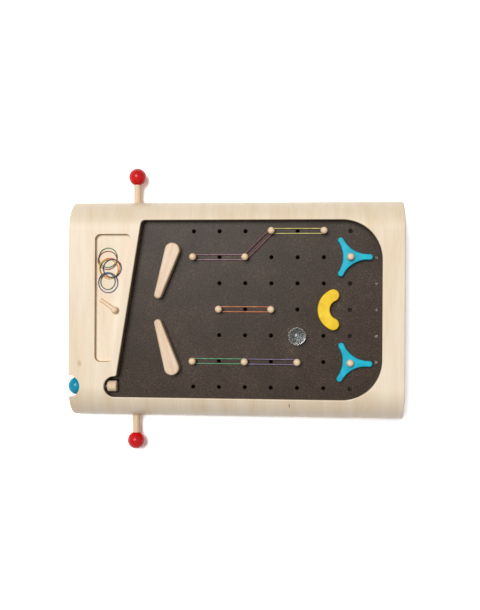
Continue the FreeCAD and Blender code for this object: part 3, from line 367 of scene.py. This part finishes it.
# Spring wire: hard-drawn carbon steel with a thin oil film, a little darker than the rods.
spring_steel, tree, shader = start_finish("oiled spring wire", 0.28, Metallic=1)
place = add(tree, "TexCoord").outputs["Object"]
oil = add(tree, "TexNoise", {"Vector": place, "Scale": 700, "Detail": 2}).outputs["Fac"]
OILED = [(0.3, "85868a"), (0.6, "a2a3a8"), (0.8, "babbc0")]
metal = add(tree, "ValToRGB", {"Fac": oil}, OILED).outputs["Color"]
tree.links.new(metal, shader.inputs["Base Color"])


def finish_mesh(name, made, material):
    """Turns a bmesh into a smooth object of the scene with its finish."""
    mesh = bpy.data.meshes.new(name)
    made.to_mesh(mesh)
    made.free()
    mesh.shade_smooth()
    mesh.materials.append(material)
    piece = bpy.data.objects.new(name, mesh)
    bpy.context.scene.collection.objects.link(piece)
    return piece


def wind_spring(name, across, length, turns, stand):
    """A compression spring with closed end coils, wound round Z and set in place by a matrix."""
    seat_gap, steps = 0.1, 28  # mm at each end, and steps to a turn
    wound = bmesh.new()
    ring = bmesh.ops.create_circle(wound, segments=10, radius=WIRE / 2)["verts"]
    bmesh.ops.rotate(
        wound, verts=ring, cent=(0, 0, 0), matrix=Matrix.Rotation(math.radians(90), 3, "X")
    )
    bmesh.ops.translate(wound, verts=ring, vec=(across / 2, 0, WIRE / 2 + seat_gap))
    wound.faces.new(ring)
    closed = WIRE * 1.02
    open_rise = (length - WIRE - seat_gap * 2 - closed * 2) / (turns - 2)
    ends = list(wound.edges)
    for climb in [closed] + [open_rise] * (turns - 2) + [closed]:
        moved = bmesh.ops.spin(
            wound,
            geom=ends,
            cent=(0, 0, 0),
            axis=(0, 0, 1),
            dvec=(0, 0, climb / steps),
            angle=math.tau,
            steps=steps,
        )["geom_last"]
        ends = [part for part in moved if isinstance(part, bmesh.types.BMEdge)]
    bmesh.ops.holes_fill(wound, edges=wound.edges, sides=12)
    bmesh.ops.remove_doubles(wound, verts=wound.verts, dist=0.001)
    bmesh.ops.recalc_face_normals(wound, faces=wound.faces)
    bmesh.ops.transform(wound, verts=wound.verts, matrix=stand @ Matrix.Scale(MM, 4))
    return finish_mesh(name, wound, spring_steel)


seat = Vector((BUSH_END, LANE_Y, PLUNGER_Z)) * MM
lying = Matrix.Translation(seat) @ Matrix.Rotation(math.radians(90), 4, "Y")
spring = wind_spring("plunger_coil", 8.4, STRIKER_X - BUSH_END, 8, ON_TABLE @ lying)
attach(spring, "frame")
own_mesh(spring)
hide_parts("plunger_spring")

# ---------------------------------------------------------------- Push rods
# Birch dowels through both long sides, each with a red lacquered ball outside and, inside, a glued
# collar, a return spring and a steel pin that works the flipper's lever.
ROD_X, ROD_Z = 73.3, -21  # the rods' axis
GUIDE_FACE, COLLAR_FACE = 88.305, 110.7  # the two seats of a return spring
SIDES = (("upper", 1), ("lower", -1))

red_lacquer = gloss_paint("red lacquer on beech", "c0080e", "d30d14", "de181f")
dress(red_lacquer, "upper_knob", "lower_knob")
birch_rod = bare_wood(
    "birch dowel, grain across the game",
    (0, 0, math.radians(90)),
    (60, 2.6, 2.6),
    ("d2ae86", "e0c19b", "e8cdab", "efdabd"),
)
dress(birch_rod, "upper_push_rod", "lower_push_rod", "upper_rod_collar", "lower_rod_collar")

for side_name, way in SIDES:
    start = Vector((ROD_X, way * GUIDE_FACE, ROD_Z)) * MM
    outward = Matrix.Rotation(math.radians(-90 * way), 4, "X")
    spring = wind_spring(
        f"{side_name}_return_coil",
        10.6,
        COLLAR_FACE - GUIDE_FACE,
        7,
        ON_TABLE @ Matrix.Translation(start) @ outward,
    )
    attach(spring, "frame")
    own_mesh(spring)
    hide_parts(f"{side_name}_rod_spring")

# ---------------------------------------------------------------- Flippers
# Tapered bats of beech, cut with the grain along them, sanded round and lacquered. Each is glued
# on a birch shaft through the board, with a slotted lever on the shaft's lower end.
FLIPPER_X, FLIPPER_Y, FLIPPER_Z = 120.4, 67.6, 6  # middle of a flipper at its pivot
FLIPPER_LIE = math.radians(17.6)  # resting angle from straight across
BEECH = ("cba582", "dbbb99", "e6cbae", "eed8bf")
for side_name, way in SIDES:
    aim = Matrix.Rotation(-(FLIPPER_LIE + math.radians(90)) * way, 4, "Z")
    turned = (ON_TABLE @ aim).to_euler()
    pivot = ON_TABLE @ (Vector((FLIPPER_X, FLIPPER_Y * way, FLIPPER_Z)) * MM)
    beech = bare_wood(
        f"lacquered beech, {side_name}", turned, (38, 2.2, 5), BEECH, 0.4, middle=pivot
    )
    dress(beech, f"{side_name}_flipper")
    birch_lever = bare_wood(
        f"birch lever, {side_name}", (0, -SLOPE, math.radians(10 * way)), (40, 4, 6), BIRCH
    )
    dress(birch_lever, f"{side_name}_lever")
birch_upright = bare_wood(
    "birch dowel, upright", (0, math.radians(90) - SLOPE, 0), (40, 2.4, 2.4), BIRCH
)
dress(birch_upright, "upper_flipper_shaft", "lower_flipper_shaft", "crescent_dowel")

# ---------------------------------------------------------------- Pegs
# Small pegs turned from birch, a ball head on a straight stem, left bare. Nine hold the bands, two
# carry the stars, and a spare one lies in the tray.
PEG_WOOD = ("deb58b", "eecca6", "f6dbba", "fbe7cf")
peg_birch = bare_wood(
    "turned birch peg", (0, math.radians(90) - SLOPE, 0), (9, 1.5, 1.5), PEG_WOOD, 0.45
)
dress(peg_birch, *[f"peg_{n}" for n in range(1, 10)], "upper_star_peg", "lower_star_peg")
lying_birch = bare_wood(
    "turned birch peg, lying", (0, 0, math.radians(145)), (9, 1.5, 1.5), PEG_WOOD, 0.45
)
dress(lying_birch, "spare_peg")

# ---------------------------------------------------------------- Stretched bands
# Dyed elastic bands, each stretched round the stems of two pegs under their heads. Two straight
# runs of round section join in half turns, and the second band on a peg lies over the first.
BAND = 1.1  # thickness of a band, mm
ROUND_STEM = 2.85  # from a peg's axis to the middle of the band
FIRST_COLUMN, MIDDLE_ROW, PITCH = 144, 3, 30  # the peg holes
LOW, HIGH = 1.2, 2.9  # underside of a band on the stems, and of one that lies over another


def elastic(name, dark, plain, light):
    """Dyed rubber: a dull silky skin, paler where it is drawn thin."""
    made, tree, shader = start_finish(name, 0.38, Specular_IOR_Level=0.6, Sheen_Weight=0.15)
    place = add(tree, "TexCoord").outputs["Object"]
    # the rubber draws out unevenly over about 5 mm
    drawn = add(tree, "TexNoise", {"Vector": place, "Scale": 190, "Detail": 3}).outputs["Fac"]
    stops = [(0.32, dark), (0.5, plain), (0.7, light)]
    skin = add(tree, "ValToRGB", {"Fac": drawn}, stops).outputs["Color"]
    tree.links.new(skin, shader.inputs["Base Color"])
    return made


elastics = {
    "mauve": elastic("mauve elastic", "744f5d", "8b5f6c", "a57e89"),
    "red": elastic("red elastic", "5e1c22", "70252c", "8a3a40"),
    "yellow": elastic("yellow elastic", "b4ab50", "c8bf63", "dad488"),
    "orange": elastic("orange elastic", "b35a26", "c96d34", "dc8a52"),
    "green": elastic("green elastic", "2c7a49", "3a8f59", "5aa876"),
    "purple": elastic("purple elastic", "5c486e", "6e5881", "89759a"),
}


def stretch_band(name, first, second, low, material):
    """A loop of round section round two pegs, given by column and row."""
    near, far = (
        Vector((FIRST_COLUMN + PITCH * column, PITCH * (MIDDLE_ROW - row), low + BAND / 2))
        for column, row in (first, second)
    )
    reach = (far - near).length
    loop = bmesh.new()
    ring = bmesh.ops.create_circle(loop, segments=12, radius=BAND / 2)["verts"]
    bmesh.ops.rotate(
        loop, verts=ring, cent=(0, 0, 0), matrix=Matrix.Rotation(math.radians(90), 3, "Y")
    )
    bmesh.ops.translate(loop, verts=ring, vec=(0, ROUND_STEM, 0))
    ends = list(loop.edges)
    for end_x, run in ((0, reach), (reach, -reach)):
        swept = bmesh.ops.spin(
            loop, geom=ends, cent=(end_x, 0, 0), axis=(0, 0, 1), angle=math.pi, steps=12
        )["geom_last"]
        ends = [part for part in swept if isinstance(part, bmesh.types.BMEdge)]
        drawn = bmesh.ops.extrude_edge_only(loop, edges=ends)["geom"]
        moved = [part for part in drawn if isinstance(part, bmesh.types.BMVert)]
        bmesh.ops.translate(loop, verts=moved, vec=(run, 0, 0))
        ends = [part for part in drawn if isinstance(part, bmesh.types.BMEdge)]
        ends = [edge for edge in ends if all(vert in moved for vert in edge.verts)]
    bmesh.ops.remove_doubles(loop, verts=loop.verts, dist=0.01)
    bmesh.ops.recalc_face_normals(loop, faces=loop.faces)
    aim = Matrix.Rotation(math.atan2(far.y - near.y, far.x - near.x), 4, "Z")
    stand = ON_TABLE @ Matrix.Scale(MM, 4) @ Matrix.Translation(near) @ aim
    bmesh.ops.transform(loop, verts=loop.verts, matrix=stand)
    return finish_mesh(name, loop, material)


for colour, first, second, low in (
    ("mauve", (0, 1), (2, 1), LOW),
    ("red", (2, 1), (3, 0), HIGH),
    ("yellow", (3, 0), (5, 0), LOW),
    ("orange", (1, 3), (3, 3), LOW),
    ("green", (0, 5), (2, 5), LOW),
    ("purple", (2, 5), (4, 5), HIGH),
):
    band = stretch_band(f"{colour}_loop", first, second, low, elastics[colour])
    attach(band, "frame")
    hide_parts(f"{colour}_band")

# ---------------------------------------------------------------- Slack bands
# Seven spare elastic bands dropped in the tray, slack and not quite round. Each lies on the tray's
# floor and climbs only where it crosses one that was dropped before it. Unstretched, the rubber
# keeps the full depth of its dye.
TRAY_FLOOR = 9
TRAY_CORNER = Vector((31, 86, 0))
APART = 0.05  # mm between bands that lie on each other
slack_elastics = {
    "green": elastic("green elastic, slack", "0a5528", "116632", "237b46"),
    "red": elastic("red elastic, slack", "721516", "881e1e", "9b302d"),
    "orange": elastic("orange elastic, slack", "c25708", "da6b12", "ec8430"),
    "yellow": elastic("yellow elastic, slack", "b79a12", "ceb11f", "dfc548"),
    "indigo": elastic("indigo elastic, slack", "171844", "222256", "33356b"),
    "purple": elastic("purple elastic, slack", "291f62", "362a75", "493d86"),
    "teal": elastic("teal elastic, slack", "194837", "225946", "366b57"),
}
dropped = []  # points along the bands that already lie there


def drop_band(name, right, down, radius, squeeze, turn, material):
    """A slack loop: its middle from the tray's corner and its radius in mm, and its oval lie."""
    middle = TRAY_CORNER + Vector((right, -down, 0))
    reach = radius - BAND / 2
    loop = bmesh.new()
    ring = bmesh.ops.create_circle(loop, segments=10, radius=BAND / 2)["verts"]
    bmesh.ops.rotate(
        loop, verts=ring, cent=(0, 0, 0), matrix=Matrix.Rotation(math.radians(90), 3, "X")
    )
    bmesh.ops.translate(loop, verts=ring, vec=(reach, 0, 0))
    steps = 90
    bmesh.ops.spin(
        loop,
        geom=list(loop.edges),
        cent=(0, 0, 0),
        axis=(0, 0, 1),
        angle=math.tau,
        steps=steps,
        use_merge=True,
    )
    # the line that the loop's middle follows, and how high it has to lie at each step
    course = []
    for step in range(steps):
        angle = math.tau * step / steps
        oval = 1 + squeeze * math.cos(2 * (angle - turn))
        course.append(middle + Vector((math.cos(angle), math.sin(angle), 0)) * reach * oval)
    needed = []
    for spot in course:
        lift = TRAY_FLOOR + BAND / 2 + APART
        for other in dropped:
            gap = math.hypot(spot.x - other.x, spot.y - other.y)
            if gap < BAND:
                lift = max(lift, other.z + math.sqrt((BAND + APART) ** 2 - gap**2))
        needed.append(lift)
    # the band eases down from a crossing to the floor over a few steps
    height = list(needed)
    for _ in range(30):
        height = [
            max(needed[n], (height[n - 1] + height[(n + 1) % steps]) / 2 - 0.01)
            for n in range(steps)
        ]
    for vert in loop.verts:
        angle = math.atan2(vert.co.y, vert.co.x) % math.tau
        step = angle / math.tau * steps
        low, share = int(step) % steps, step - int(step)
        climb = height[low] * (1 - share) + height[(low + 1) % steps] * share
        oval = 1 + squeeze * math.cos(2 * (angle - turn))
        flat = Vector((vert.co.x, vert.co.y, 0))
        along_ring = flat.normalized() * reach
        raised = Vector((0, 0, vert.co.z + climb))
        vert.co = middle + along_ring * oval + (flat - along_ring) + raised
    for spot, lift in zip(course, height):
        dropped.append(Vector((spot.x, spot.y, lift)))
    bmesh.ops.recalc_face_normals(loop, faces=loop.faces)
    bmesh.ops.transform(loop, verts=loop.verts, matrix=ON_TABLE @ Matrix.Scale(MM, 4))
    return finish_mesh(name, loop, material)


for colour, right, down, radius, squeeze, turn in (
    ("green", 14.2, 27.2, 11.5, 0.025, 1.2),
    ("red", 13.9, 30.2, 11.3, 0.03, 0.3),
    ("orange", 16.4, 38.8, 12, 0.035, 0.1),
    ("yellow", 15.4, 40.4, 11.5, 0.03, 2.0),
    ("indigo", 19.4, 39.4, 11, 0.02, 0.6),
    ("purple", 14.6, 56.0, 12, 0.015, 1.5),
    ("teal", 14.3, 54.7, 9.4, 0.05, 1.4),
):
    rubber = slack_elastics[colour]
    band = drop_band(f"slack_{colour}_loop", right, down, radius, squeeze, turn, rubber)
    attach(band, "frame")
    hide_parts(f"spare_{colour}_band")

# ---------------------------------------------------------------- Stars and crescent
# Cut from birch plywood 8 to 10 mm thick, edges rounded on a router, sprayed with satin lacquer.
# The stars spin on their pegs, and the crescent turns on a dowel glued into its back.
star_lacquer = gloss_paint("blue satin lacquer", "00a3bd", "00b1cb", "14bfd8", 0.38, 0.18)
dress(star_lacquer, "upper_star", "lower_star")
yellow_lacquer = gloss_paint("yellow satin lacquer", "e9bd0c", "f5ca12", "fad528", 0.38, 0.2)
dress(yellow_lacquer, "crescent")

# ---------------------------------------------------------------- Marble
# A plain clear glass marble 20 mm across, with the least green in its depth. A fire-polished skin
# is smoother and gives a sharp view through it. The roughness is set well above that, because the
# denoised render of a clear skin breaks up into grains inside the ball, so it looks satin here.
glass, tree, shader = start_finish("clear soda-lime glass", 0.28, IOR=1.52, Transmission_Weight=1)
place = add(tree, "TexCoord").outputs["Object"]
# faint cords of denser glass, about 4 mm across
cords = add(
    tree, "TexNoise", {"Vector": place, "Scale": 240, "Detail": 1, "Distortion": 1}
).outputs["Fac"]
GREENISH = [(0.3, "eef4f1"), (0.7, "f7fbf9")]
tint = add(tree, "ValToRGB", {"Fac": cords}, GREENISH).outputs["Color"]
tree.links.new(tint, shader.inputs["Base Color"])
low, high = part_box("marble")
ball = bmesh.new()
bmesh.ops.create_icosphere(ball, subdivisions=6, radius=(high.z - low.z) / 2)
bmesh.ops.translate(ball, verts=ball.verts, vec=(low + high) / 2)
marble = finish_mesh("glass_marble", ball, glass)
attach(marble, "marble")
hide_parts("marble")

# ---------------------------------------------------------------- Floor, light and camera
# A white sweep under one large soft lamp from the upper left and an even white room, and a camera
# that looks straight down from a metre above the board.
FLOOR_HALF = 1.3
UNDER_X, UNDER_LONG, UNDER_WIDE = -0.0125, 0.1775, 0.12  # the floor painted dark as shade under the game
BOUNCE, SHADED, WHITE = 0.4, 0.1, 2.3  # tone of the floor for scattered light, and as it is seen
ROOM_LIGHT = 0.15  # strength of the room for scattered light, against 1 as it is seen


def find_seen(tree):
    """1 for the rays that show a thing: straight, mirrored, or through glass."""
    rays = add(tree, "LightPath").outputs
    seen = rays["Is Camera Ray"]
    for kind in ("Is Glossy Ray", "Is Transmission Ray"):
        seen = add(tree, "Math", {0: seen, 1: rays[kind]}, operation="MAXIMUM").outputs[0]
    return seen


floor_shape = bmesh.new()
bmesh.ops.create_grid(floor_shape, x_segments=1, y_segments=1, size=FLOOR_HALF)
paper, tree, _ = start_finish("white paper sweep", 1)
# The floor is seen brighter than it lights the game, so that the sweep comes out white. Under the
# game that would glow through the holes, so there it is painted nearly dark as shade, but for the
# far end.
place = add(tree, "TexCoord").outputs["Object"]
place = add(
    tree,
    "Mapping",
    {"Vector": place, "Location": (UNDER_X, 0, 0), "Scale": (UNDER_LONG, UNDER_WIDE, 1)},
    vector_type="TEXTURE",
).outputs["Vector"]
place = add(tree, "VectorMath", {0: place}, operation="ABSOLUTE").outputs[0]
right, up, _ = add(tree, "SeparateXYZ", {"Vector": place}).outputs
rim = add(tree, "Math", {0: right, 1: up}, operation="MAXIMUM").outputs[0]
clear = add(tree, "MapRange", {"Value": rim, "From Min": 0.8, "From Max": 1.03}).outputs[0]
bounce, shaded, white = ((level, level, level, 1) for level in (BOUNCE, SHADED, WHITE))
shown = add(tree, "Mix", {0: clear, 6: shaded, 7: white}, data_type="RGBA").outputs[2]
seen = find_seen(tree)
tone = add(tree, "Mix", {0: seen, 6: bounce, 7: shown}, data_type="RGBA").outputs[2]
plain = add(tree, "BsdfDiffuse", {"Color": tone}).outputs[0]
tree.links.new(plain, tree.nodes["Material Output"].inputs["Surface"])
floor = finish_mesh("floor", floor_shape, paper)

world = bpy.data.worlds.new("white room")
bpy.context.scene.world = world
world.use_nodes = True
tree = world.node_tree
seen = find_seen(tree)
level = add(tree, "MapRange", {"Value": seen, "To Min": ROOM_LIGHT, "To Max": 1}).outputs[0]
tree.links.new(level, tree.nodes["Background"].inputs["Strength"])
tree.nodes["Background"].inputs["Color"].default_value = (1, 1, 1, 1)

# The lamp is aimed well past the game's far end, which evens out its light along the game.
lamp = bpy.data.lights.new("key", "AREA")
lamp.shape = "SQUARE"
lamp.size = 3
lamp.energy = 425
stand = bpy.data.objects.new("key", lamp)
bpy.context.scene.collection.objects.link(stand)
stand.location = (-1.6, 1.6, 6.4)
aim = Vector((3.2, 0, 0.05)) - stand.location
stand.rotation_euler = aim.to_track_quat("-Z", "Y").to_euler()

camera = bpy.data.objects.new("camera", bpy.data.cameras.new("camera"))
bpy.context.scene.collection.objects.link(camera)
camera.location = (0.0042, 0.0049, 1.046)
camera.rotation_euler = (0, 0, math.radians(0.3))
camera.data.sensor_fit = "VERTICAL"
camera.data.sensor_height = 36
camera.data.lens = 51.2
bpy.context.scene.camera = camera
bpy.context.scene.view_settings.view_transform = "Standard"
